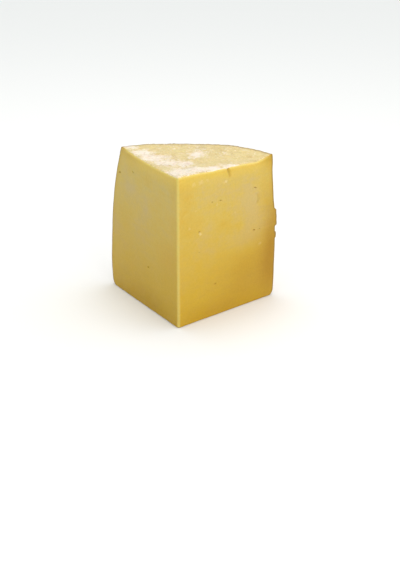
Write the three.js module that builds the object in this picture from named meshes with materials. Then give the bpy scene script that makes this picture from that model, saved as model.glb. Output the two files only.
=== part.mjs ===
// A wedge cut from a tall wheel of semi-hard cheese, standing on the wheel's flat base.
// Units are millimetres and +Z is up. The wheel's axis is the wedge's front edge, and the
// rind, which bulges like a barrel, is its back. The wedge is one piece of cheese.
// The origin is the centre of the wedge's footprint box, on the base.
import * as THREE from "three";

// Driving dimensions of the wheel and of the two cuts.
const wheelHeight = 144;
const topRadius = 118; // at the wheel's upper edge, beside the left cut
const rightFlare = 1.5; // how much further the upper edge stands out beside the right cut
const wedgeAngle = THREE.MathUtils.degToRad(75.6);
const leftCutTwist = THREE.MathUtils.degToRad(3); // the left cut runs out wider at the base

// How far the rind bulges out past its upper edge, at the left cut and at the right cut.
const leftBulge = 17.2;
const rightBulge = 5.5;
const bulgeHeight = 38; // where the rind stands out furthest
const leftFullness = 2.7; // 2 is a circle's curve, more keeps the side fuller near the top
const rightFullness = 2;
const baseTuck = 0.3; // share of the bulge that is lost again at the base

// Softened edges.
const apexRounding = 1.6;
const shoulderRounding = 1.6;
const baseRounding = 6;

// Mesh steps.
const rindSegments = 30;
const apexSegments = 4;
const heightSteps = 24;

const halfAngle = wedgeAngle / 2;

// The wedge's outline seen from above, before the rind is flared and bulged: the front edge
// is at the origin and the middle of the rind is on +Y.
function wedgeOutline() {
  const apexCentre = apexRounding / Math.sin(halfAngle);
  const right = Math.PI / 2 - halfAngle; // the right cut's direction, from +X
  const left = Math.PI / 2 + halfAngle;
  const rind = new THREE.ArcCurve(0, 0, topRadius, right, left);
  const apexStart = left + Math.PI / 2;
  const apexEnd = right + 1.5 * Math.PI;
  const apex = new THREE.ArcCurve(0, apexCentre, apexRounding, apexStart, apexEnd);
  return new THREE.Shape([...rind.getPoints(rindSegments), ...apex.getPoints(apexSegments)]);
}

// How much of the bulge the rind has at a height: none at the top, all at bulgeHeight.
// Here and below, across runs from 0 at the right cut to 1 at the left cut.
function bulgeShare(across, z) {
  if (z > bulgeHeight) {
    const fullness = THREE.MathUtils.lerp(rightFullness, leftFullness, across);
    return 1 - ((z - bulgeHeight) / (wheelHeight - bulgeHeight)) ** fullness;
  }
  return 1 - baseTuck * ((bulgeHeight - z) / bulgeHeight) ** 2;
}

// How far a rounded edge draws the rind in, at a distance from that edge's flat face.
function roundingDepth(distance, radius) {
  if (distance >= radius) return 0;
  return radius - Math.sqrt(radius ** 2 - (radius - distance) ** 2);
}

// The rind's radius at a height.
function rindRadius(across, z) {
  const bulge = THREE.MathUtils.lerp(rightBulge, leftBulge, across);
  return (
    topRadius +
    rightFlare * (1 - across) +
    bulge * bulgeShare(across, z) -
    roundingDepth(wheelHeight - z, shoulderRounding) -
    roundingDepth(z, baseRounding)
  );
}

function wedgeGeometry() {
  const geometry = new THREE.ExtrudeGeometry(wedgeOutline(), {
    depth: wheelHeight,
    steps: heightSteps,
    bevelEnabled: false,
  });
  const points = geometry.getAttribute("position");
  for (let i = 0; i < points.count; i++) {
    const x = points.getX(i);
    const y = points.getY(i);
    // The levels crowd together near the base and the top, where the edges are rounded.
    const level = (1 - Math.cos((Math.PI * points.getZ(i)) / wheelHeight)) / 2;
    const z = wheelHeight * level;
    const fromMiddle = Math.atan2(x, y);
    const across = THREE.MathUtils.clamp((halfAngle - fromMiddle) / wedgeAngle, 0, 1);
    const angle = fromMiddle - leftCutTwist * across * (1 - level);
    const radius = (Math.hypot(x, y) * rindRadius(across, z)) / topRadius;
    points.setXYZ(i, radius * Math.sin(angle), radius * Math.cos(angle), z);
  }
  geometry.computeBoundingBox();
  const centre = geometry.boundingBox.getCenter(new THREE.Vector3());
  geometry.translate(-centre.x, -centre.y, 0);
  geometry.computeVertexNormals();
  return geometry;
}

const cheese = new THREE.MeshStandardMaterial({
  color: 0xdcbb62,
  roughness: 0.5,
  metalness: 0,
});

const wedge = new THREE.Mesh(wedgeGeometry(), cheese);
wedge.name = "cheese_wedge";

const part = new THREE.Group();
part.add(wedge);

export default part;
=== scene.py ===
import math

import bmesh
import bpy
import numpy as np
from mathutils import Matrix, Vector, noise


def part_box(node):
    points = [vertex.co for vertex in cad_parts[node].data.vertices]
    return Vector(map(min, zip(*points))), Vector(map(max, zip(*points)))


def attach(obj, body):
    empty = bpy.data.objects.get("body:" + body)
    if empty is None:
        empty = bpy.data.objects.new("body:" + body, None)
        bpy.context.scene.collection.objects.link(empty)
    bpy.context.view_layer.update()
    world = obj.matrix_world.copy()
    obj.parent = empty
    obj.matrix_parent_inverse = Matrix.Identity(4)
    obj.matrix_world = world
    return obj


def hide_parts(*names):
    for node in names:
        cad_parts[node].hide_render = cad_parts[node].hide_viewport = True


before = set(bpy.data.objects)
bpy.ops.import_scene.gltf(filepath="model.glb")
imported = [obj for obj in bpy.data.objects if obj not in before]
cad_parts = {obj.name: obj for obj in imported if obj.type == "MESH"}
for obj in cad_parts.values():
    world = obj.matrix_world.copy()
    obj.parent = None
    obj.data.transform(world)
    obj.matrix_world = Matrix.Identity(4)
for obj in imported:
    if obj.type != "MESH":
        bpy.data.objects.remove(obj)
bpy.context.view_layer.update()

mm = 0.001  # metres
wedgeBox = [np.array(corner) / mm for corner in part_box("cheese_wedge")]
print("frame loaded, the wedge measures", (wedgeBox[1] - wedgeBox[0]).round(1), "mm")

wheel = {
    "height": wedgeBox[1][2] - wedgeBox[0][2],
    "topRadius": 118.0,  # at the upper edge, beside the left cut
    "rightFlare": 1.5,  # how much further the rim stands out beside the right cut
    "wedgeAngle": math.radians(75.6),
    "leftTwist": math.radians(3.0),  # the left cut runs out wider at the base
    "leftBulge": 17.2,  # how far the rind stands out past the rim
    "rightBulge": 5.5,
    "bulgeHeight": 38.0,  # where it stands out furthest
    "leftFullness": 2.7,  # 2 is a circle's curve, more keeps the side fuller near the top
    "rightFullness": 2.0,
    "baseTuck": 0.3,  # share of the bulge that is lost again at the base
    "shoulder": 1.6,  # rounding between rind and top
    "heel": 6.0,  # rounding between rind and base
    "frontEdge": 3.3,  # reach of the front edge's softening
    "frontWear": 0.395,  # how far it is worn back, as a share of that reach
    "knifeEdge": 1.0,  # rounding of the other edges that the knife left
    "topEdge": 2.3,  # rounding where the cuts meet the top, which is handled most
    "meshStep": 1.25,
    "fineStep": 0.25,  # mesh step beside the edges
    "stepGrowth": 0.3,  # how fast it grows away from them
}
halfAngle = wheel["wedgeAngle"] / 2
leftCut, rightCut, topFace, rindFace, baseFace = range(5)  # the wedge's five sides


# across runs from 0 at the right cut to 1 at the left cut
def bulgeShare(across, z):
    rise = np.clip((z - wheel["bulgeHeight"]) / (wheel["height"] - wheel["bulgeHeight"]), 0, 1)
    fullness = wheel["rightFullness"] + across * (wheel["leftFullness"] - wheel["rightFullness"])
    above = 1 - rise**fullness
    below = 1 - wheel["baseTuck"] * ((wheel["bulgeHeight"] - z) / wheel["bulgeHeight"]) ** 2
    return np.where(z > wheel["bulgeHeight"], above, below)


def roundingDepth(distance, radius):
    short = np.clip(radius - distance, 0, radius)
    return radius - np.sqrt(radius**2 - short**2)


def rindRadius(across, z):
    rim = wheel["topRadius"] + wheel["rightFlare"] * (1 - across)
    bulge = wheel["rightBulge"] + across * (wheel["leftBulge"] - wheel["rightBulge"])
    full = rim + bulge * bulgeShare(across, z)
    ends = roundingDepth(wheel["height"] - z, wheel["shoulder"]) + roundingDepth(z, wheel["heel"])
    return full - ends


def spreadAngle(z):  # the angle between the cuts at a height
    return wheel["wedgeAngle"] + wheel["leftTwist"] * (1 - z / wheel["height"])


# share runs from 0 at the wheel's axis to 1 at the rind
def placeInWheel(share, across, z):
    radius = share * rindRadius(across, z)
    angle = halfAngle - across * spreadAngle(z)
    return np.stack([radius * np.sin(angle), radius * np.cos(angle), z], axis=-1)


def gradedSteps(length):  # places along a length, crowded at its ends
    along = np.linspace(0, length, 4001)
    fromEnd = np.minimum(along, length - along)
    step = np.minimum(wheel["meshStep"], wheel["fineStep"] + wheel["stepGrowth"] * fromEnd)
    count = np.concatenate([[0], np.cumsum(np.diff(along) / step[1:])])
    return np.interp(np.linspace(0, count[-1], round(count[-1]) + 1), count, along)


def sideGrids():  # each side of the wedge as a grid of points
    share = gradedSteps(wheel["topRadius"]) / wheel["topRadius"]
    arc = wheel["topRadius"] * wheel["wedgeAngle"]
    across = gradedSteps(arc) / arc
    z = gradedSteps(wheel["height"])
    s, h = np.meshgrid(share, z, indexing="ij")
    a, k = np.meshgrid(across, z, indexing="ij")
    t, b = np.meshgrid(share, across, indexing="ij")
    top = np.full_like(t, wheel["height"])
    return {
        leftCut: placeInWheel(s, np.ones_like(s), h),
        rightCut: placeInWheel(s, np.zeros_like(s), h),
        topFace: placeInWheel(t, b, top),
        rindFace: placeInWheel(np.ones_like(a), a, k),
        baseFace: placeInWheel(t, b, 0 * top),
    }


def gridFaces(rows, columns, first):
    i, j = np.meshgrid(np.arange(rows - 1), np.arange(columns - 1), indexing="ij")
    corner = (first + i * columns + j).ravel()
    return np.stack([corner, corner + columns, corner + columns + 1, corner + 1], axis=-1)


def sharpWedge():  # the wedge with sharp knife edges, as one closed bmesh in millimetres
    points, faces, sides = [], [], []
    for side, grid in sideGrids().items():
        rows, columns = grid.shape[:2]
        made = gridFaces(rows, columns, sum(len(p) for p in points))
        points.append(grid.reshape(-1, 3))
        faces.append(made)
        sides.append(np.full(len(made), side))
    mesh = bpy.data.meshes.new("cut_wedge")
    mesh.from_pydata(np.concatenate(points).tolist(), [], np.concatenate(faces).tolist())
    mesh.attributes.new("side", "INT", "FACE").data.foreach_set("value", np.concatenate(sides))
    shape = bmesh.new()
    shape.from_mesh(mesh)
    bmesh.ops.remove_doubles(shape, verts=shape.verts, dist=0.001)
    bmesh.ops.dissolve_degenerate(shape, edges=shape.edges, dist=0.0005)
    bmesh.ops.recalc_face_normals(shape, faces=shape.faces)
    return mesh, shape


# along is measured from the front edge and up from the base, in millimetres
eyes = [
    {"side": rightCut, "along": 97.0, "up": 115.8, "long": 1.9, "high": 0.65, "deep": 0.95, "tilt": -17},
    {"side": rightCut, "along": 52.4, "up": 112.0, "long": 1.6, "high": 0.5, "deep": 0.9, "tilt": -6},
    {"side": rightCut, "along": 42.0, "up": 112.4, "long": 1.0, "high": 0.6, "deep": 0.7, "tilt": 0},
    {"side": rightCut, "along": 94.6, "up": 73.0, "long": 1.5, "high": 0.75, "deep": 1.0, "tilt": -8},
    {"side": rightCut, "along": 101.4, "up": 72.4, "long": 1.2, "high": 0.5, "deep": 0.6, "tilt": 0},
    {"side": rightCut, "along": 26.0, "up": 87.4, "long": 1.1, "high": 0.7, "deep": 0.9, "tilt": 0},
    {"side": rightCut, "along": 25.8, "up": 67.8, "long": 0.8, "high": 0.6, "deep": 0.5, "tilt": 0},
    {"side": rightCut, "along": 46.0, "up": 32.0, "long": 1.5, "high": 0.6, "deep": 0.9, "tilt": 12},
    {"side": leftCut, "along": 119.5, "up": 117.6, "long": 1.6, "high": 1.0, "deep": 1.0, "tilt": 0},
    {"side": leftCut, "along": 90.0, "up": 126.6, "long": 2.2, "high": 1.0, "deep": 0.4, "tilt": 12},
    {"side": leftCut, "along": 58.0, "up": 41.0, "long": 1.6, "high": 0.7, "deep": 0.9, "tilt": -10},
]
nick = {
    "along": 60.8,
    "lean": 3.2,
    "drop": 11.0,
    "wide": 1.5,
    "deep": 2.0,  # into the cut face
    "topDeep": 0.7,  # into the top
    "inward": 4.5,
}
crease = {"along": 98.5, "from": 98.0, "to": 110.0, "bend": 2.4, "wide": 2.0, "deep": 0.6}
crumbs = [  # raised crumbs of paste on the right cut with a painted highlight: along, up, size, paleness (the strength of the painted highlight)
    (58.4, 129.6, 2.4, 0.34),
    (19.5, 133.6, 2.4, 0.15),
    (28.0, 134.6, 2.8, 0.2),
    (36.0, 135.0, 2.0, 0.13),
    (26.8, 85.2, 2.0, 0.4),
    (14.0, 93.0, 1.8, 0.14),
    (22.0, 108.0, 1.6, 0.12),
    (48.0, 108.6, 1.8, 0.16),
    (71.0, 96.0, 1.5, 0.1),
    (103.0, 58.0, 2.2, 0.14),
]
crumbRise, crumbRaggedness = 0.3, 0.9
crusts = [  # torn crust on the rind: distance from the right cut, up, half sizes and lift
    {"at": 0.0, "up": 79.2, "reach": 17.0, "tall": 8.0, "lift": 2.4},
    {"at": 0.0, "up": 61.2, "reach": 9.0, "tall": 3.0, "lift": 1.5},
    {"at": 52.0, "up": 104.0, "reach": 11.0, "tall": 6.0, "lift": 0.7},
    {"at": 96.0, "up": 47.0, "reach": 14.0, "tall": 5.0, "lift": 0.8},
    {"at": 128.0, "up": 92.0, "reach": 8.0, "tall": 9.0, "lift": 0.6},
]
top = {
    "headroom": 0.35,  # how far the flat of the rim lies under the highest point
    "apexDrop": 0.2,  # how much lower the worn front corner lies
    "leftDish": 2.0,  # sag of the top between the axis and the rim
    "rightDish": 2.6,
    "leftSkew": 1.0,  # 1 sags most half way out, more sags nearer the rim
    "rightSkew": 1.5,
    "cornerSag": 1.9,  # extra sag beside the right cut, short of the corner
    "cornerSagAt": 98.0,
    "cornerSagReach": 13.5,
    "warpReach": 45.0,  # how far down the sag fades out
    "rimLifts": [  # across, width, lift
        (0.02, 0.1, -0.6),
        (0.3, 0.05, 0.6),
        (0.45, 0.3, -0.55),
        (0.6, 0.1, -0.3),
        (0.72, 0.2, -0.45),
    ],
    "wrinkleSize": 5.5,
    "creaseSize": 3.2,  # finer creases among the wrinkles
    "wrinkleDepth": 0.3,
    "lumpSize": 9.0,
    "lump": 0.35,
}
cuts = {
    "bowSize": 55.0,
    "bow": 0.45,
    "rippleSize": 16.0,
    "ripple": 0.1,
    "dragSize": 6.0,  # fine marks where the knife dragged
    "drag": 0.08,
    "gripReach": 14.0,  # the bow starts beyond the thin front edge
}
base = {"fade": 3.0, "hollowSize": 18.0, "hollow": 0.3}  # shallow hollows in the underside
rind = {
    "swellSize": 42.0,
    "swell": 0.8,
    "dentSize": 13.0,
    "dent": 0.3,
    "rightHollow": 1.1,  # the rind is flatter beside the upper right cut
    "pits": 46,
    "pitSizes": (1.2, 2.8),
}


def smoothRamp(value, low, high):
    t = np.clip((value - low) / (high - low), 0, 1)
    return t * t * (3 - 2 * t)


def unevenness(points, size, seed):  # lumps of this size in millimetres, about -1 to 1
    shift = Vector((17.31 * seed, 5.17 * seed, 9.73 * seed))
    return np.array([noise.noise(Vector(p) / size + shift) for p in points])


def wrinkling(points, size, seed):  # narrow folds, from 0 in the open to 1 on a fold
    bent = points + 0.35 * size * np.stack([unevenness(points, size, seed + n) for n in range(3)], axis=-1)
    return 1 - np.abs(unevenness(bent, size, seed + 3)) * 2.4


def eyeShape(eye, along, up):  # 0 outside, 1 at the deepest, and how far out a point lies
    tilt = math.radians(eye["tilt"])
    u = (along - eye["along"]) * math.cos(tilt) + (up - eye["up"]) * math.sin(tilt)
    v = (up - eye["up"]) * math.cos(tilt) - (along - eye["along"]) * math.sin(tilt)
    out = np.hypot(u / eye["long"], v / eye["high"])
    return np.clip(1 - out**2, 0, 1) ** 0.6, out


def nickShape(along, up):  # a thin tear that leans towards the rind as it runs down
    down = np.clip((wheel["height"] - up) / nick["drop"], 0, 1)
    middle = nick["along"] + nick["lean"] * down**0.7
    return np.exp(-(((along - middle) / nick["wide"]) ** 2)) * (1 - down) ** 0.6


def creaseShape(along, up):
    t = (up - crease["from"]) / (crease["to"] - crease["from"])
    middle = crease["along"] + crease["bend"] * np.sin(np.pi * np.clip(t, 0, 1))
    ends = smoothRamp(t, -0.05, 0.2) * smoothRamp(1 - t, -0.05, 0.2)
    return np.exp(-(((along - middle) / crease["wide"]) ** 2)) * ends


def refine(shape):  # finer mesh where a detail is smaller than the mesh step
    spots = [(e["side"], e["along"], e["up"], e["long"] + 1.5) for e in eyes]
    spots += [(rightCut, nick["along"] + 1, wheel["height"] - d, 4.0) for d in (0, 3, 6, 9, 12)]
    spots += [(topFace, nick["along"], wheel["height"], 5.0)]
    spots += [(rightCut, along, up, size + 1.5) for along, up, size, _ in crumbs]
    spots += [(rightCut, crease["along"] + 1.5, up, 4.0) for up in (100, 105, 110)]
    kept = shape.faces.layers.int["side"]
    edges = set()
    for face in shape.faces:
        x, y, z = face.calc_center_median()
        along = math.hypot(x, y)
        for side, spotAlong, spotUp, reach in spots:
            if face[kept] != side or math.hypot(along - spotAlong, z - spotUp) > reach:
                continue
            if side == topFace and halfAngle - math.atan2(x, y) > 0.1:
                continue
            edges.update(face.edges)
            break
    edges = sorted(edges, key=lambda edge: edge.index)
    bmesh.ops.subdivide_edges(shape, edges=edges, cuts=3, use_grid_fill=True, use_single_edge=True)


# How each point of the sharp wedge lies: along (from the axis), across, up and rim radius.
def layOf(points):
    x, y, z = points.T
    along = np.hypot(x, y)
    angle = np.where(along > 1e-4, np.arctan2(x, y), 0)
    across = np.clip((halfAngle - angle) / spreadAngle(z), 0, 1)
    return along, angle, across, z, rindRadius(across, z)


def edgeRounding(points, lay):  # pulls points beside a knife edge onto a quarter round
    along, angle, across, z, radius = lay
    atTop = smoothRamp(z, wheel["height"] - 7, wheel["height"] - 2) * smoothRamp(radius - along, 2, 14)
    reach = wheel["knifeEdge"] + atTop * (wheel["topEdge"] - wheel["knifeEdge"])
    nearLeft = across > 0.5
    offCut = along * np.sin(np.where(nearLeft, 1 - across, across) * spreadAngle(z))
    offSkin = np.minimum.reduce([wheel["height"] - z, z, radius - along])
    fromCut, fromSkin = np.clip(reach - offCut, 0, reach), np.clip(reach - offSkin, 0, reach)
    length = np.maximum(np.hypot(fromCut, fromSkin), reach)
    intoCut = reach - fromCut * reach / length - np.minimum(offCut, reach)
    intoSkin = reach - fromSkin * reach / length - np.minimum(offSkin, reach)
    rightNormal = np.array([-math.cos(halfAngle), math.sin(halfAngle), 0])
    leftNormal = rightNormal * [-1, 1, 1]
    cutNormal = np.where(nearLeft[:, None], leftNormal, rightNormal)
    weights = np.stack([wheel["height"] - z, z, radius - along])
    weights = np.clip(reach + offSkin - weights, 0, None) + 1e-9
    weights /= np.sqrt((weights**2).sum(0))
    outwards = np.stack([np.sin(angle), np.cos(angle), 0 * z], axis=-1)
    skinNormal = -weights[2][:, None] * outwards
    skinNormal[:, 2] += weights[1] - weights[0]
    return intoCut[:, None] * cutNormal + intoSkin[:, None] * skinNormal


def crustLift(points, across, z, along):
    fromCut = across * wheel["topRadius"] * wheel["wedgeAngle"]
    ragged = unevenness(points, 4.0, 31) * 1.6 + unevenness(points, 1.9, 32) * 0.8
    lift = 0 * z
    for crust in crusts:
        vertical = crust["tall"] - np.abs(z - crust["up"])
        inside = np.minimum(vertical, crust["reach"] - np.abs(fromCut - crust["at"])) + ragged
        lift = np.maximum(lift, crust["lift"] * smoothRamp(inside, -0.4, 0.9))
    return lift * (1 - 0.25 * np.abs(unevenness(points, 5.0, 33)))


def pitDepth(across, z):  # small round pits scattered on the rind
    rng = np.random.default_rng(7)
    arc = across * wheel["topRadius"] * wheel["wedgeAngle"]
    depth = 0 * z
    for _ in range(rind["pits"]):
        at = rng.uniform(6, wheel["topRadius"] * wheel["wedgeAngle"] - 6)
        up = rng.uniform(8, wheel["height"] - 8)
        size = rng.uniform(*rind["pitSizes"])
        out = np.hypot(arc - at, (z - up) * rng.uniform(0.7, 1.4)) / size
        depth = np.maximum(depth, 0.35 * size * np.clip(1 - out**2, 0, 1))
    return depth


def rindRelief(points, lay):
    along, _, across, z, _ = lay
    swell = rind["swell"] * (unevenness(points, rind["swellSize"], 11) - 0.2)
    dents = rind["dent"] * unevenness(points, rind["dentSize"], 12)
    upper = smoothRamp(z, 84, 100) * (1 - smoothRamp(z, 126, 138))
    hollow = rind["rightHollow"] * upper * np.exp(-((across / 0.12) ** 2))
    swell = swell * (1 - np.exp(-((across / 0.1) ** 2)))  # the right edge has its own outline
    return swell + dents - hollow + crustLift(points, across, z, along) - pitDepth(across, z)


def cutBow(points, along, z, seed):  # how far a cut face stands out of its plane
    flat = np.stack([along, 0 * z, z], axis=-1)
    bow = cuts["bow"] * unevenness(flat, cuts["bowSize"], seed)
    bow += cuts["ripple"] * unevenness(flat, cuts["rippleSize"], seed + 1)
    return bow + cuts["drag"] * unevenness(flat * [0.3, 1, 1], cuts["dragSize"], seed + 2)  # the knife's drag


def topShift(points, lay):  # how far the top is raised, mostly sagging below the rim
    along, _, across, z, radius = lay
    share = np.clip(along / radius, 0, 1)
    dish = top["rightDish"] + across * (top["leftDish"] - top["rightDish"])
    skew = top["rightSkew"] + across * (top["leftSkew"] - top["rightSkew"])
    lift = -top["headroom"] - top["apexDrop"] * (1 - share) ** 3 - dish * np.sin(np.pi * share**skew)
    lift -= top["cornerSag"] * softSpot(along - top["cornerSagAt"], across, top["cornerSagReach"], 0.16)
    for at, width, rise in top["rimLifts"]:
        lift += rise * share**2 * np.exp(-(((across - at) / width) ** 2))
    return lift * smoothRamp(z, wheel["height"] - top["warpReach"], wheel["height"])


# The depth of eyes, tears and crumbs in one cut face, the painted shade in the eyes, the tear and the crease,
# and the painted highlight on the crumbs.
def cutDetails(points, lay, onSide):
    along, _, _, z, _ = lay
    depth, hollow = 0 * z, 0 * z
    for eye in (e for e in eyes if e["side"] == onSide):
        inside, out = eyeShape(eye, along, z)
        lip = np.exp(-(((out - 1.35) / 0.35) ** 2)) * 0.2 * eye["deep"]
        depth += eye["deep"] * inside - lip
        # painted shade inside the eye
        hollow = np.maximum(hollow, inside * min(0.8, 0.7 * eye["deep"]))
    fleck = 0 * z
    if onSide == rightCut:
        tear, fold = nickShape(along, z), creaseShape(along, z)
        ragged = crumbRaggedness * unevenness(points, 1.3, 61)
        depth += nick["deep"] * tear + crease["deep"] * fold
        # painted shade in the tear and the crease
        hollow = np.maximum(hollow, np.maximum(0.5 * tear, 0.12 * fold))
        for crumbAlong, crumbUp, size, paleness in crumbs:
            out = np.hypot(along - crumbAlong, 1.25 * (z - crumbUp)) / size + ragged
            depth -= crumbRise * paleness * size * np.clip(1 - out**2, 0, 1)
            # painted highlight on the crumb
            fleck = np.maximum(fleck, paleness * np.clip(1.2 - out**2, 0, 1))
    return depth, hollow, fleck


def warpedPoints(points, lay, outwards, sideways):  # softened edges, relief, bow and sag
    along, _, across, z, radius = lay
    moved = points + edgeRounding(points, lay)
    share = np.clip(along / radius, 0, 1)
    front = np.clip(1 - along / wheel["frontEdge"], 0, 1) ** 2
    moved[:, 1] += wheel["frontWear"] * wheel["frontEdge"] * front
    moved += (share**3 * rindRelief(points, lay))[:, None] * outwards
    grip = smoothRamp(along, 0, cuts["gripReach"])
    bow = across**2 * cutBow(points, along, z, 21) - (1 - across) ** 2 * cutBow(points, along, z, 25)
    moved += (grip * bow)[:, None] * sideways
    moved[:, 2] += topShift(points, lay)
    nearTop = smoothRamp(z, wheel["height"] - 4, wheel["height"])
    flat = points * [1, 1, 0]
    wrinkles = wrinkling(flat, top["wrinkleSize"], 41) + 0.5 * unevenness(flat, top["creaseSize"], 45)
    moved[:, 2] -= nearTop * top["wrinkleDepth"] * np.clip(wrinkles, 0, 1.5)
    moved[:, 2] += nearTop * top["lump"] * (unevenness(flat, top["lumpSize"], 47) - 0.5)
    nearBase = 1 - smoothRamp(z, 0, base["fade"])
    hollows = np.clip(unevenness(flat, base["hollowSize"], 51), 0, 1)
    moved[:, 2] += nearBase * base["hollow"] * hollows
    return moved


def shapeWedge(points):  # the finished wedge's points from the sharp wedge's, and its marks
    lay = layOf(points)
    along, angle, across, z, radius = lay
    outwards = np.stack([np.sin(angle), np.cos(angle), 0 * z], axis=-1)
    sideways = np.stack([-np.cos(angle), np.sin(angle), 0 * z], axis=-1)  # towards the left
    moved = warpedPoints(points, lay, outwards, sideways)
    hollow, fleck = 0 * z, 0 * z
    for side, direction in ((leftCut, -1), (rightCut, 1)):
        onCut = np.abs(across - (side == leftCut)) * along < 0.01
        depth, recessShade, pale = cutDetails(points, lay, side)
        moved += (onCut * direction * depth)[:, None] * sideways
        hollow = np.where(onCut, recessShade, hollow)
        fleck = np.where(onCut, pale, fleck)
    onTop = (z > wheel["height"] - 0.01) & (across < 0.5) & (across > 1e-4)
    fromCut = along * across * wheel["wedgeAngle"]
    tear = nickShape(along, z) * np.exp(-((fromCut / nick["inward"]) ** 2))
    moved[:, 2] -= np.where(onTop, nick["topDeep"] * tear, 0)
    marks = {
        "underTop": wheel["height"] - z,
        "underRind": radius - along,
        "underSkin": np.minimum(z, radius - along),
        "fromFront": along,
        "hollow": hollow,
        "fleck": fleck,
        "cloud": paintedTone(lay, clouds),
        "shadeAndDrying": paintedTone(lay, shadeAndDryingSpots),
        "bloomAndSheen": paintedBloomAndSheen(points),
    }
    return moved, marks


clouds = [  # on the cut faces: along and up, half width and half height, pale (+) or golden (-)
    {"side": rightCut, "along": 90, "up": 103, "wide": 12, "tall": 24, "tone": 0.9},
    {"side": rightCut, "along": 98, "up": 76, "wide": 20, "tall": 16, "tone": 0.6},
    {"side": rightCut, "along": 68, "up": 66, "wide": 20, "tall": 10, "tone": 0.5},
    {"side": rightCut, "along": 55, "up": 122, "wide": 24, "tall": 12, "tone": 0.3},
    {"side": rightCut, "along": 33, "up": 74, "wide": 16, "tall": 12, "tone": 0.35},
    {"side": rightCut, "along": 55, "up": 88, "wide": 7, "tall": 5, "tone": -0.7},
    {"side": rightCut, "along": 77, "up": 81, "wide": 5, "tall": 4, "tone": -0.5},
    {"side": rightCut, "along": 8, "up": 110, "wide": 12, "tall": 40, "tone": -0.6},
    {"side": rightCut, "along": 60, "up": 55, "wide": 14, "tall": 7, "tone": -0.5},
    {"side": rightCut, "along": 86, "up": 46, "wide": 22, "tall": 12, "tone": -0.9},
    {"side": leftCut, "along": 98, "up": 108, "wide": 13, "tall": 11, "tone": 0.8},
    {"side": leftCut, "along": 64, "up": 96, "wide": 7, "tall": 7, "tone": 0.5},
    {"side": leftCut, "along": 80, "up": 72, "wide": 12, "tall": 10, "tone": 0.4},
    {"side": leftCut, "along": 125, "up": 60, "wide": 14, "tall": 16, "tone": 0.5},
    {"side": leftCut, "along": 22, "up": 55, "wide": 20, "tall": 26, "tone": -0.7},
    {"side": leftCut, "along": 4, "up": 90, "wide": 10, "tall": 60, "tone": -0.5},
]
shadeAndDryingSpots = [  # where the cut faces are painted darker, in the same terms: painted shade at the lower right and near the base, with some drying beside the rind
    {"side": rightCut, "along": 122, "up": 50, "wide": 16, "tall": 52, "tone": 0.8},
    {"side": rightCut, "along": 118, "up": 142, "wide": 12, "tall": 9, "tone": 0.5},
    {"side": rightCut, "along": 90, "up": 30, "wide": 40, "tall": 26, "tone": 0.4},
    {"side": rightCut, "along": 50, "up": 4, "wide": 60, "tall": 14, "tone": 0.3},
    {"side": leftCut, "along": 60, "up": 4, "wide": 70, "tall": 16, "tone": 0.35},
    {"side": leftCut, "along": 110, "up": 141, "wide": 26, "tall": 6, "tone": 0.25},
]
bloomAndSheenSpots = [  # whitish bloom with painted sheen on the top, from the axis: x, y, half width, half depth
    (-48, 79, 12, 11),
    (-34, 66, 15, 13),
    (-19, 52, 14, 12),
    (-1, 22, 15, 20),
    (12, 34, 14, 11),
    (26, 40, 12, 10),
    (41, 53, 12, 9),
    (-4, 52, 11, 9),
    (2, 84, 8, 14),
    (-62, 92, 10, 6),
]


def softSpot(u, v, wide, tall):
    return np.exp(-((u / wide) ** 2) - (v / tall) ** 2)


def paintedTone(lay, spots):
    along, _, across, z, _ = lay
    tone = 0 * z
    for spot in spots:
        side = across > 0.5 if spot["side"] == leftCut else across <= 0.5
        u, v = along - spot["along"], z - spot["up"]
        tone += side * spot["tone"] * softSpot(u, v, spot["wide"], spot["tall"])
    return tone


# where the whitish bloom and its painted sheen lie on the top
def paintedBloomAndSheen(points):
    x, y, z = points.T
    tone = 0 * z
    for spotX, spotY, wide, deep in bloomAndSheenSpots:
        tone = np.maximum(tone, softSpot(x - spotX, y - spotY, wide, deep))
    return tone


def toLinear(code):  # an sRGB hex value as linear red, green, blue and alpha
    channels = [int(code[i : i + 2], 16) / 255 for i in (1, 3, 5)]
    linear = [c / 12.92 if c <= 0.04045 else ((c + 0.055) / 1.055) ** 2.4 for c in channels]
    return (*linear, 1.0)


def perMetre(size):  # a texture's scale for a pattern of this size in millimetres
    return 1 / (size * mm)


def addNode(tree, kind, settings=None, links=None):
    node = tree.nodes.new(kind)
    for name, value in (settings or {}).items():
        if isinstance(name, str) and hasattr(node, name):
            setattr(node, name, value)
        else:
            node.inputs[name].default_value = value
    for name, source in (links or {}).items():
        tree.links.new(source, node.inputs[name])
    return node


def freshTree(name):
    material = bpy.data.materials.new(name)
    material.use_nodes = True
    material.node_tree.nodes.clear()
    return material, material.node_tree


def mixColour(tree, factor, first, second):  # either colour is a hex value or an output
    node = addNode(tree, "ShaderNodeMix", {"data_type": "RGBA"}, {0: factor})
    for index, colour in ((6, first), (7, second)):
        if isinstance(colour, str):
            node.inputs[index].default_value = toLinear(colour)
        else:
            tree.links.new(colour, node.inputs[index])
    return node.outputs[2]


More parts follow.
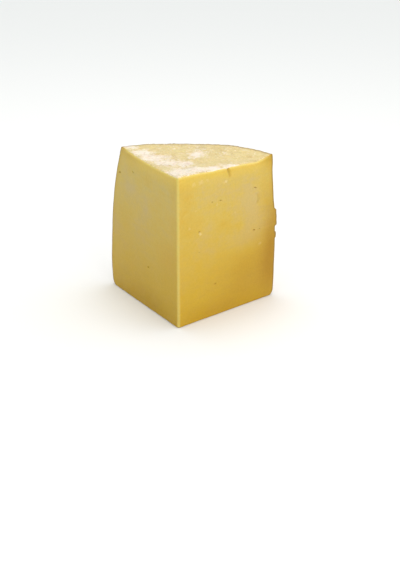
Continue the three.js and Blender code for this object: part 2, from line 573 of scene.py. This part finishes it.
# Semi-hard paste as the knife leaves it: pressed curd with a waxy, slightly greasy sheen.
# Light goes a few millimetres in, so edges glow and shade is soft.
paste = {
    "body": "#d1b457",
    "gold": "#e0be4d",  # richer zone just under the top
    "pale": "#cbb273",
    "ripe": "#d0a83b",  # soft golden clouds
    "deep": "#c59d12",  # painted shade and warm bounce light towards the base
    # painted shade, with some drying beside the rind
    "shadeAndDrying": "#ad8114",
    "rim": "#e6cf7c",  # painted highlight on the worn edges beside the top, where they catch the light and let it through
    "skinLine": "#8f7434",  # the rind itself, cut through
    # painted shade inside the eyes, the tear and the crease
    "hollow": "#9a7420",
    # painted highlight on the crumbs
    "fleck": "#f0dfae",
    "front": "#d8c876",  # painted highlight along the thin front edge, which catches the light and lets it through
    "goldReach": 15.0,
    "lowShadeReach": 140.0,
    "skirtReach": 5.0,  # deeper colour beside the rind, and painted shade beside the base
    "rimReach": 3.6,
    "skinLineReach": 3.4,
    "frontHighlightReach": 3.6,
    "cloudSize": 26.0,
    "mottleSize": 7.0,
    "streakSize": 22.0,  # smears left by the knife, a quarter as high as they are long
    "grainSize": 1.8,  # curd grain is nearer 0.5 mm, drawn coarser so that it shows
    "roughness": (0.38, 0.52),
    "scatter": (4.0, 2.2, 0.9),
}


def pasteNoises(tree, where):  # unevenness of the paste, from large to fine
    cloudNoise = addNode(
        tree,
        "ShaderNodeTexNoise",
        {"Scale": perMetre(paste["cloudSize"]), "Detail": 3.0, "Roughness": 0.55},
        {"Vector": where},
    ).outputs["Fac"]
    mottle = addNode(
        tree,
        "ShaderNodeTexNoise",
        {"Scale": perMetre(paste["mottleSize"]), "Detail": 4.0, "Roughness": 0.6, "Distortion": 0.6},
        {"Vector": where},
    ).outputs["Fac"]
    grain = addNode(
        tree,
        "ShaderNodeTexNoise",
        {"Scale": perMetre(paste["grainSize"]), "Detail": 3.0, "Roughness": 0.6},
        {"Vector": where},
    ).outputs["Fac"]
    flattened = addNode(
        tree, "ShaderNodeVectorMath", {"operation": "MULTIPLY", 1: (1.0, 1.0, 4.0)}, {0: where}
    ).outputs[0]
    streak = addNode(
        tree,
        "ShaderNodeTexNoise",
        {"Scale": perMetre(paste["streakSize"]), "Detail": 4.0, "Roughness": 0.6, "Distortion": 0.5},
        {"Vector": flattened},
    ).outputs["Fac"]
    return {"cloud": cloudNoise, "mottle": mottle, "grain": grain, "streak": streak}


def cloudedPaste(tree, noises, marks):  # the painted clouds, loosened by the noises
    uneven = addNode(
        tree, "ShaderNodeMath", {"operation": "MULTIPLY_ADD", 1: 1.6}, {0: noises["cloud"], 2: marks["cloud"]}
    ).outputs[0]
    uneven = addNode(
        tree, "ShaderNodeMath", {"operation": "MULTIPLY_ADD", 1: 1.5}, {0: noises["mottle"], 2: uneven}
    ).outputs[0]
    uneven = addNode(
        tree, "ShaderNodeMath", {"operation": "MULTIPLY_ADD", 1: 1.4}, {0: noises["streak"], 2: uneven}
    ).outputs[0]
    paleness = addNode(
        tree,
        "ShaderNodeMapRange",
        {"interpolation_type": "SMOOTHSTEP", "From Min": 1.95, "From Max": 3.25},
        {"Value": uneven},
    ).outputs[0]
    goldness = addNode(
        tree,
        "ShaderNodeMapRange",
        {"From Min": 2.2, "From Max": 1.2, "To Max": 0.7},
        {"Value": uneven},
    ).outputs[0]
    colour = mixColour(tree, paleness, paste["body"], paste["pale"])
    return mixColour(tree, goldness, colour, paste["ripe"])


def deepenedPaste(tree, colour, where, noises, marks):  # by height as painted shade towards the base, and beside the skin, with painted shade in the shade-and-drying spots
    height = addNode(tree, "ShaderNodeSeparateXYZ", {}, {0: where}).outputs["Z"]
    # painted shade and warm bounce light: the paste turns to the deep colour towards the base
    low = addNode(
        tree,
        "ShaderNodeMapRange",
        {
            "interpolation_type": "SMOOTHSTEP",
            "From Min": paste["lowShadeReach"] * mm,
            "From Max": 0.0,
            "To Max": 0.85,
        },
        {"Value": height},
    ).outputs[0]
    colour = mixColour(tree, low, colour, paste["deep"])
    band = addNode(
        tree,
        "ShaderNodeMath",
        {"operation": "MULTIPLY_ADD", 1: -6.0},
        {0: noises["mottle"], 2: marks["underTop"]},
    ).outputs[0]
    band = addNode(
        tree,
        "ShaderNodeMapRange",
        {"interpolation_type": "SMOOTHSTEP", "From Min": paste["goldReach"], "From Max": -6.0},
        {"Value": band},
    ).outputs[0]
    colour = mixColour(tree, band, colour, paste["gold"])
    # deeper colour beside the rind, and painted shade where the paste meets the base
    skirt = addNode(
        tree,
        "ShaderNodeMath",
        {"operation": "MULTIPLY_ADD", 1: -6.0},
        {0: noises["mottle"], 2: marks["underSkin"]},
    ).outputs[0]
    skirt = addNode(
        tree,
        "ShaderNodeMapRange",
        {
            "interpolation_type": "SMOOTHSTEP",
            "From Min": paste["skirtReach"],
            "From Max": -6.0,
            "To Max": 0.6,
        },
        {"Value": skirt},
    ).outputs[0]
    colour = mixColour(tree, skirt, colour, paste["deep"])
    # painted shade with some drying, where the shade-and-drying spots lie
    shadeAndDrying = addNode(
        tree, "ShaderNodeMath", {"operation": "MULTIPLY_ADD", 1: 0.25}, {0: noises["streak"], 2: marks["shadeAndDrying"]}
    ).outputs[0]
    shadeAndDrying = addNode(
        tree, "ShaderNodeMapRange", {"From Min": 0.15, "From Max": 1.0}, {"Value": shadeAndDrying}
    ).outputs[0]
    return mixColour(tree, shadeAndDrying, colour, paste["shadeAndDrying"])


def edgedPaste(tree, colour, marks):  # painted highlights on the worn top edges and the thin front edge, the cut rind, painted shade in the eyes and a painted highlight on the crumbs
    # painted highlight along the rounded top edges of the cut faces, kept off the corner at the rind
    rim = addNode(
        tree,
        "ShaderNodeMapRange",
        {"interpolation_type": "SMOOTHSTEP", "From Min": paste["rimReach"], "From Max": 0.3, "To Max": 0.75},
        {"Value": marks["underTop"]},
    ).outputs[0]
    offCorner = addNode(
        tree,
        "ShaderNodeMapRange",
        {"interpolation_type": "SMOOTHSTEP", "From Min": 1.0, "From Max": 16.0},
        {"Value": marks["underRind"]},
    ).outputs[0]
    rim = addNode(tree, "ShaderNodeMath", {"operation": "MULTIPLY"}, {0: rim, 1: offCorner}).outputs[0]
    colour = mixColour(tree, rim, colour, paste["rim"])
    line = addNode(
        tree,
        "ShaderNodeMapRange",
        {
            "interpolation_type": "SMOOTHSTEP",
            "From Min": paste["skinLineReach"],
            "From Max": 0.3,
            "To Max": 0.9,
        },
        {"Value": marks["underRind"]},
    ).outputs[0]
    colour = mixColour(tree, line, colour, paste["skinLine"])
    # painted highlight along the thin front edge
    frontHighlight = addNode(
        tree,
        "ShaderNodeMapRange",
        {"interpolation_type": "SMOOTHSTEP", "From Min": paste["frontHighlightReach"], "From Max": 0.6, "To Max": 0.6},
        {"Value": marks["fromFront"]},
    ).outputs[0]
    colour = mixColour(tree, frontHighlight, colour, paste["front"])
    # painted shade in the eyes, the tear and the crease
    colour = mixColour(tree, marks["hollow"], colour, paste["hollow"])
    # painted highlight on the crumbs
    return mixColour(tree, marks["fleck"], colour, paste["fleck"])


def pressedPaste():
    material, tree = freshTree("semi_hard_cheese_paste")
    where = addNode(tree, "ShaderNodeTexCoord").outputs["Object"]
    marks = {
        name: addNode(tree, "ShaderNodeAttribute", {"attribute_name": name}).outputs["Fac"]
        for name in (
            "underTop",
            "underRind",
            "underSkin",
            "fromFront",
            "hollow",
            "fleck",
            "cloud",
            "shadeAndDrying",
        )
    }
    noises = pasteNoises(tree, where)
    colour = cloudedPaste(tree, noises, marks)
    colour = deepenedPaste(tree, colour, where, noises, marks)
    colour = edgedPaste(tree, colour, marks)
    speckle = addNode(
        tree,
        "ShaderNodeMapRange",
        {"From Min": 0.3, "From Max": 0.7, "To Min": 0.955, "To Max": 1.04},
        {"Value": noises["grain"]},
    ).outputs[0]
    colour = addNode(
        tree, "ShaderNodeVectorMath", {"operation": "SCALE"}, {0: colour, "Scale": speckle}
    ).outputs[0]
    rough = addNode(
        tree,
        "ShaderNodeMapRange",
        {"From Min": 0.3, "From Max": 0.7, "To Min": paste["roughness"][0], "To Max": paste["roughness"][1]},
        {"Value": noises["mottle"]},
    ).outputs[0]
    relief = addNode(
        tree,
        "ShaderNodeMath",
        {"operation": "MULTIPLY_ADD", 1: 3.0},
        {0: noises["mottle"], 2: noises["grain"]},
    ).outputs[0]
    relief = addNode(
        tree, "ShaderNodeMath", {"operation": "MULTIPLY_ADD", 1: 4.0}, {0: noises["streak"], 2: relief}
    ).outputs[0]
    bump = addNode(
        tree, "ShaderNodeBump", {"Strength": 0.35, "Distance": 0.12 * mm}, {"Height": relief}
    ).outputs[0]
    shader = addNode(
        tree,
        "ShaderNodeBsdfPrincipled",
        {
            "IOR": 1.45,
            "Specular IOR Level": 0.3,
            "Subsurface Weight": 0.35,
            "Subsurface Radius": paste["scatter"],
            "Subsurface Scale": mm,
        },
        {"Base Color": colour, "Roughness": rough, "Normal": bump},
    ).outputs[0]
    addNode(tree, "ShaderNodeOutputMaterial", {}, {"Surface": shader})
    return material


# Dried skin of a brined wheel: the same cheese, firmer, with fine folds from the press
# cloth, a whitish bloom in patches and flecks with painted sheen in it, and a waxy shine.
skin = {
    "cream": "#dec485",
    # whitish bloom, with the sheen of the lights on the waxy top painted into it
    "bloomAndSheen": "#f5e2d2",
    "tan": "#c9a75e",
    "straw": "#c39e58",  # the rind at the back
    "ochre": "#a37e42",
    "crack": "#b08a48",
    "rim": "#8c7038",  # a darker line along the edge between top and rind
    "rimLineReach": 3.2,
    "rimReach": 4.0,  # the rim of the top is as brown as the rind
    "patchSize": 30.0,
    "mottleSize": 5.0,
    "crackSize": 8.0,
    "fleckSize": 3.2,
    "grainSize": 1.6,
    "roughness": (0.28, 0.5),
    "scatter": (2.5, 1.5, 0.8),
}


def skinNoises(tree, where):  # patches, mottling, grain, cracks and flecks
    patches = addNode(
        tree,
        "ShaderNodeTexNoise",
        {"Scale": perMetre(skin["patchSize"]), "Detail": 4.0, "Roughness": 0.6, "Distortion": 0.4},
        {"Vector": where},
    ).outputs["Fac"]
    mottle = addNode(
        tree,
        "ShaderNodeTexNoise",
        {"Scale": perMetre(skin["mottleSize"]), "Detail": 5.0, "Roughness": 0.65, "Distortion": 1.0},
        {"Vector": where},
    ).outputs["Fac"]
    grain = addNode(
        tree,
        "ShaderNodeTexNoise",
        {"Scale": perMetre(skin["grainSize"]), "Detail": 3.0, "Roughness": 0.6},
        {"Vector": where},
    ).outputs["Fac"]
    bent = addNode(
        tree,
        "ShaderNodeVectorMath",
        {"operation": "MULTIPLY_ADD", 1: (7 * mm, 7 * mm, 7 * mm)},
        {0: mottle, 2: where},
    ).outputs[0]
    cells = addNode(
        tree,
        "ShaderNodeTexVoronoi",
        {"feature": "DISTANCE_TO_EDGE", "Scale": perMetre(skin["crackSize"])},
        {"Vector": bent},
    ).outputs["Distance"]
    crack = addNode(
        tree,
        "ShaderNodeMapRange",
        {"interpolation_type": "SMOOTHSTEP", "From Min": 0.11, "From Max": 0.0},
        {"Value": cells},
    ).outputs[0]
    broken = addNode(  # most cracks are only short
        tree,
        "ShaderNodeMapRange",
        {"interpolation_type": "SMOOTHSTEP", "From Min": 0.46, "From Max": 0.6},
        {"Value": patches},
    ).outputs[0]
    crack = addNode(tree, "ShaderNodeMath", {"operation": "MULTIPLY"}, {0: crack, 1: broken}).outputs[0]
    dots = addNode(
        tree,
        "ShaderNodeTexNoise",
        {"Scale": perMetre(skin["fleckSize"]), "Detail": 2.0, "Roughness": 0.5, "Distortion": 1.2},
        {"Vector": where},
    ).outputs["Fac"]
    fleck = addNode(
        tree,
        "ShaderNodeMapRange",
        {"interpolation_type": "SMOOTHSTEP", "From Min": 0.56, "From Max": 0.7},
        {"Value": dots},
    ).outputs[0]
    return {"patches": patches, "mottle": mottle, "grain": grain, "crack": crack, "fleck": fleck}


def skinGround(tree, noises, marks):  # from the rind's brown to the top's cream
    inRim = addNode(
        tree,
        "ShaderNodeMath",
        {"operation": "MULTIPLY_ADD", 1: -4.0},
        {0: noises["mottle"], 2: marks["underRind"]},
    ).outputs[0]
    inRim = addNode(
        tree,
        "ShaderNodeMapRange",
        {"interpolation_type": "SMOOTHSTEP", "From Min": -2.0, "From Max": skin["rimReach"] - 2},
        {"Value": inRim},
    ).outputs[0]
    creamy = addNode(
        tree, "ShaderNodeMath", {"operation": "MULTIPLY"}, {0: inRim, 1: marks["onTop"]}
    ).outputs[0]
    back = addNode(
        tree,
        "ShaderNodeMath",
        {"operation": "MULTIPLY_ADD", 1: 0.5},
        {0: noises["mottle"], 2: noises["patches"]},
    ).outputs[0]
    back = addNode(
        tree,
        "ShaderNodeMapRange",
        {"interpolation_type": "SMOOTHSTEP", "From Min": 0.6, "From Max": 0.92},
        {"Value": back},
    ).outputs[0]
    back = mixColour(tree, back, skin["straw"], skin["ochre"])
    colour = mixColour(tree, creamy, back, skin["cream"])
    tanned = addNode(
        tree,
        "ShaderNodeMapRange",
        {"interpolation_type": "SMOOTHSTEP", "From Min": 0.54, "From Max": 0.34, "To Max": 0.5},
        {"Value": noises["mottle"]},
    ).outputs[0]
    return mixColour(tree, tanned, colour, skin["tan"])


def bloomedSkin(tree, colour, noises, marks):  # white bloom with painted sheen, the darker rim line and the cracks
    # the share of whitish bloom and painted sheen, broken up by the patches, the mottling and the flecks
    bloomAndSheenShare = addNode(
        tree,
        "ShaderNodeMath",
        {"operation": "MULTIPLY_ADD", 1: 0.9},
        {0: noises["patches"], 2: marks["bloomAndSheen"]},
    ).outputs[0]
    bloomAndSheenShare = addNode(
        tree, "ShaderNodeMath", {"operation": "MULTIPLY_ADD", 1: 2.2}, {0: noises["mottle"], 2: bloomAndSheenShare}
    ).outputs[0]
    bloomAndSheenShare = addNode(
        tree, "ShaderNodeMath", {"operation": "MULTIPLY_ADD", 1: 0.7}, {0: noises["fleck"], 2: bloomAndSheenShare}
    ).outputs[0]
    bloomAndSheenShare = addNode(
        tree,
        "ShaderNodeMapRange",
        {"interpolation_type": "SMOOTHSTEP", "From Min": 1.7, "From Max": 2.5, "To Max": 0.95},
        {"Value": bloomAndSheenShare},
    ).outputs[0]
    litTopShare = addNode(  # painted light: the bloom and sheen are painted at full strength on the top, which the light from above lights most, and at 0.3 on the rind
        tree, "ShaderNodeMapRange", {"To Min": 0.3, "To Max": 1.0}, {"Value": marks["onTop"]}
    ).outputs[0]
    bloomAndSheenShare = addNode(tree, "ShaderNodeMath", {"operation": "MULTIPLY"}, {0: bloomAndSheenShare, 1: litTopShare}).outputs[0]
    colour = mixColour(tree, bloomAndSheenShare, colour, skin["bloomAndSheen"])
    # a darker line along the top's edge at the rind
    rim = addNode(
        tree,
        "ShaderNodeMapRange",
        {
            "interpolation_type": "SMOOTHSTEP",
            "From Min": skin["rimLineReach"],
            "From Max": 0.4,
            "To Max": 0.55,
        },
        {"Value": marks["underRind"]},
    ).outputs[0]
    rim = addNode(tree, "ShaderNodeMath", {"operation": "MULTIPLY"}, {0: rim, 1: marks["onTop"]}).outputs[0]
    colour = mixColour(tree, rim, colour, skin["rim"])
    shade = addNode(
        tree, "ShaderNodeMath", {"operation": "MULTIPLY", 1: 0.28}, {0: noises["crack"]}
    ).outputs[0]
    colour = mixColour(tree, shade, colour, skin["crack"])
    # painted shade of the eyes and the tear where it reaches the skin
    return mixColour(tree, marks["hollow"], colour, paste["hollow"])


def driedSkin():
    material, tree = freshTree("dried_cheese_rind")
    where = addNode(tree, "ShaderNodeTexCoord").outputs["Object"]
    marks = {
        name: addNode(tree, "ShaderNodeAttribute", {"attribute_name": name}).outputs["Fac"]
        for name in ("bloomAndSheen", "onTop", "hollow", "underRind")
    }
    noises = skinNoises(tree, where)
    colour = skinGround(tree, noises, marks)
    colour = bloomedSkin(tree, colour, noises, marks)
    speckle = addNode(
        tree,
        "ShaderNodeMapRange",
        {"From Min": 0.3, "From Max": 0.7, "To Min": 0.9, "To Max": 1.09},
        {"Value": noises["grain"]},
    ).outputs[0]
    colour = addNode(
        tree, "ShaderNodeVectorMath", {"operation": "SCALE"}, {0: colour, "Scale": speckle}
    ).outputs[0]
    rough = addNode(
        tree,
        "ShaderNodeMapRange",
        {"From Min": 0.3, "From Max": 0.7, "To Min": skin["roughness"][0], "To Max": skin["roughness"][1]},
        {"Value": noises["mottle"]},
    ).outputs[0]
    height = addNode(
        tree,
        "ShaderNodeMath",
        {"operation": "MULTIPLY_ADD", 1: 1.5},
        {0: noises["mottle"], 2: noises["grain"]},
    ).outputs[0]
    height = addNode(
        tree, "ShaderNodeMath", {"operation": "MULTIPLY_ADD", 1: 0.4}, {0: noises["fleck"], 2: height}
    ).outputs[0]
    height = addNode(
        tree, "ShaderNodeMath", {"operation": "MULTIPLY_ADD", 1: -0.4}, {0: noises["crack"], 2: height}
    ).outputs[0]
    bump = addNode(
        tree, "ShaderNodeBump", {"Strength": 0.8, "Distance": 0.4 * mm}, {"Height": height}
    ).outputs[0]
    shader = addNode(
        tree,
        "ShaderNodeBsdfPrincipled",
        {
            "IOR": 1.45,
            "Subsurface Weight": 0.2,
            "Subsurface Radius": skin["scatter"],
            "Subsurface Scale": mm,
            "Coat Weight": 0.25,
            "Coat Roughness": 0.3,
        },
        {"Base Color": colour, "Roughness": rough, "Normal": bump},
    ).outputs[0]
    addNode(tree, "ShaderNodeOutputMaterial", {}, {"Surface": shader})
    return material


# Where each side lies flat on the bake's map, in millimetres from the map's lower left
bakeSheet = {"width": 392.0, "height": 300.0}
bakePlaces = {
    leftCut: (3, 3),
    rightCut: (141, 3),
    topFace: (270, 3),
    rindFace: (3, 152),
    baseFace: (200, 152),
}


def flatPlace(side, point):  # a point of one side, laid flat
    x, y, z = point
    if side in (leftCut, rightCut):
        return math.hypot(x, y), z
    if side == topFace:
        return y, x + 73
    if side == baseFace:
        return x + 82, y
    return 95 + wheel["topRadius"] * 1.1 * math.atan2(x, y), z


def mapForBaking(mesh, points):
    layer = mesh.uv_layers.new(name="OFBake")
    side = np.zeros(len(mesh.polygons), int)
    mesh.attributes["side"].data.foreach_get("value", side)
    for polygon in mesh.polygons:
        left, low = bakePlaces[side[polygon.index]]
        for corner in polygon.loop_indices:
            u, v = flatPlace(side[polygon.index], points[mesh.loops[corner].vertex_index])
            layer.data[corner].uv = ((left + u) / bakeSheet["width"], (low + v) / bakeSheet["height"])


def fitInBox(points, low, high):  # the finest touch: nothing stands proud of the CAD's box
    least, most = points.min(0), points.max(0)
    scale = np.minimum(1, (high - low) / (most - least))
    middle = (least + most) / 2
    fitted = middle + (points - middle) * scale
    fitted += np.clip(low - fitted.min(0), 0, None) + np.clip(high - fitted.max(0), None, 0)
    return fitted


def makeWedge():
    mesh, shape = sharpWedge()
    refine(shape)
    shape.to_mesh(mesh)
    shape.free()
    count = len(mesh.vertices)
    points = np.empty(count * 3)
    mesh.vertices.foreach_get("co", points)
    points = points.reshape(-1, 3)
    print("sharp wedge made,", count, "points")
    mapForBaking(mesh, points)
    moved, marks = shapeWedge(points)
    toPart = wedgeBox[1] - points.max(0)
    marks["onTop"] = smoothRamp(points[:, 2], wheel["height"] - 2.5, wheel["height"] - 0.4)
    fitted = fitInBox(moved + toPart, *wedgeBox)
    mesh.vertices.foreach_set("co", fitted.ravel())
    for name, values in marks.items():
        mesh.attributes.new(name, "FLOAT", "POINT").data.foreach_set("value", values)
    mesh.materials.append(pressedPaste())
    mesh.materials.append(driedSkin())
    side = np.zeros(len(mesh.polygons), int)
    mesh.attributes["side"].data.foreach_get("value", side)
    mesh.polygons.foreach_set("material_index", (side > rightCut).astype(int))
    mesh.polygons.foreach_set("use_smooth", np.ones(len(side), bool))
    mesh.transform(Matrix.Scale(mm, 4))
    mesh.update()
    piece = bpy.data.objects.new("cut_wedge", mesh)
    bpy.context.scene.collection.objects.link(piece)
    print("wedge shaped,", len(mesh.polygons), "faces")
    return piece, toPart


wedge, wheelAxis = makeWedge()
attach(wedge, "root")
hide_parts("cheese_wedge")


studio = {
    "floor": "#f4f0f1",
    "floorSize": 60.0,
    "horizon": 0.5,
    "zenith": 1.25,
    "leftDome": "#eefcf7",  # the sides of the dome differ a little in colour
    "rightDome": "#feffff",
    "lean": 0.27,  # how much brighter the dome is on the right
    "warmFill": {"at": (0.75, -0.95, 0.55), "size": 0.6, "watts": 3.2, "colour": (1.0, 0.92, 0.78)},
    "key": {"at": (-0.1, 0.25, 1.15), "size": 0.7, "watts": 3.4, "colour": (1.0, 0.98, 0.95)},
}
view = {
    "azimuth": math.radians(9.8),
    "pitch": math.radians(21.9),
    "distance": 1093.5,
    "aim": (18.8, 3.25, 42.9),  # from the foot of the front edge
    "lens": 76.7,
}


def makeFloor():
    mesh = bpy.data.meshes.new("studio_floor")
    half = studio["floorSize"] / 2
    corners = [(-half, -half, 0), (half, -half, 0), (half, half, 0), (-half, half, 0)]
    mesh.from_pydata(corners, [], [(0, 1, 2, 3)])
    material, tree = freshTree("painted_floor")
    shader = addNode(  # matt, so that it doesn't mirror the dim horizon
        tree,
        "ShaderNodeBsdfPrincipled",
        {"Base Color": toLinear(studio["floor"]), "Roughness": 0.8, "Specular IOR Level": 0.0},
    ).outputs[0]
    addNode(tree, "ShaderNodeOutputMaterial", {}, {"Surface": shader})
    mesh.materials.append(material)
    floor = bpy.data.objects.new("studio_floor", mesh)
    floor.location.z = -0.0002
    bpy.context.scene.collection.objects.link(floor)


def makeSky():  # an even studio dome, brighter overhead
    world = bpy.data.worlds.new("studio_dome")
    world.use_nodes = True
    tree = world.node_tree
    tree.nodes.clear()
    towards = addNode(tree, "ShaderNodeTexCoord").outputs["Generated"]
    towards = addNode(tree, "ShaderNodeSeparateXYZ", {}, {0: towards}).outputs
    strength = addNode(
        tree,
        "ShaderNodeMapRange",
        {"From Min": 0.0, "From Max": 1.0, "To Min": studio["horizon"], "To Max": studio["zenith"]},
        {"Value": towards["Z"]},
    ).outputs[0]
    strength = addNode(
        tree,
        "ShaderNodeMath",
        {"operation": "MULTIPLY_ADD", 1: studio["lean"]},
        {0: towards["X"], 2: strength},
    ).outputs[0]
    sideways = addNode(
        tree, "ShaderNodeMapRange", {"From Min": -1.0, "From Max": 1.0}, {"Value": towards["X"]}
    ).outputs[0]
    colour = mixColour(tree, sideways, studio["leftDome"], studio["rightDome"])
    glow = addNode(tree, "ShaderNodeBackground", {}, {"Color": colour, "Strength": strength}).outputs[0]
    addNode(tree, "ShaderNodeOutputWorld", {}, {"Surface": glow})
    bpy.context.scene.world = world


def makeLight(name, lamp):
    data = bpy.data.lights.new(name, "AREA")
    data.size = lamp["size"]
    data.energy = lamp["watts"]
    data.color = lamp["colour"]
    light = bpy.data.objects.new(name, data)
    light.location = lamp["at"]
    towards = Vector((0, 0, 0.07)) - light.location
    light.rotation_euler = towards.to_track_quat("-Z", "Y").to_euler()
    bpy.context.scene.collection.objects.link(light)


def makeCamera():
    data = bpy.data.cameras.new("studio_camera")
    data.lens = view["lens"]
    camera = bpy.data.objects.new("studio_camera", data)
    aim = Vector(wheelAxis + np.array(view["aim"])) * mm
    level = math.cos(view["pitch"])
    back = Vector(
        (math.sin(view["azimuth"]) * level, -math.cos(view["azimuth"]) * level, math.sin(view["pitch"]))
    )
    camera.location = aim + back * view["distance"] * mm
    camera.rotation_euler = (-back).to_track_quat("-Z", "Y").to_euler()
    bpy.context.scene.collection.objects.link(camera)
    bpy.context.scene.camera = camera


makeFloor()
makeSky()
makeLight("warm_fill", studio["warmFill"])
makeLight("overhead_key", studio["key"])
makeCamera()
bpy.context.scene.view_settings.view_transform = "Standard"
print("studio made")
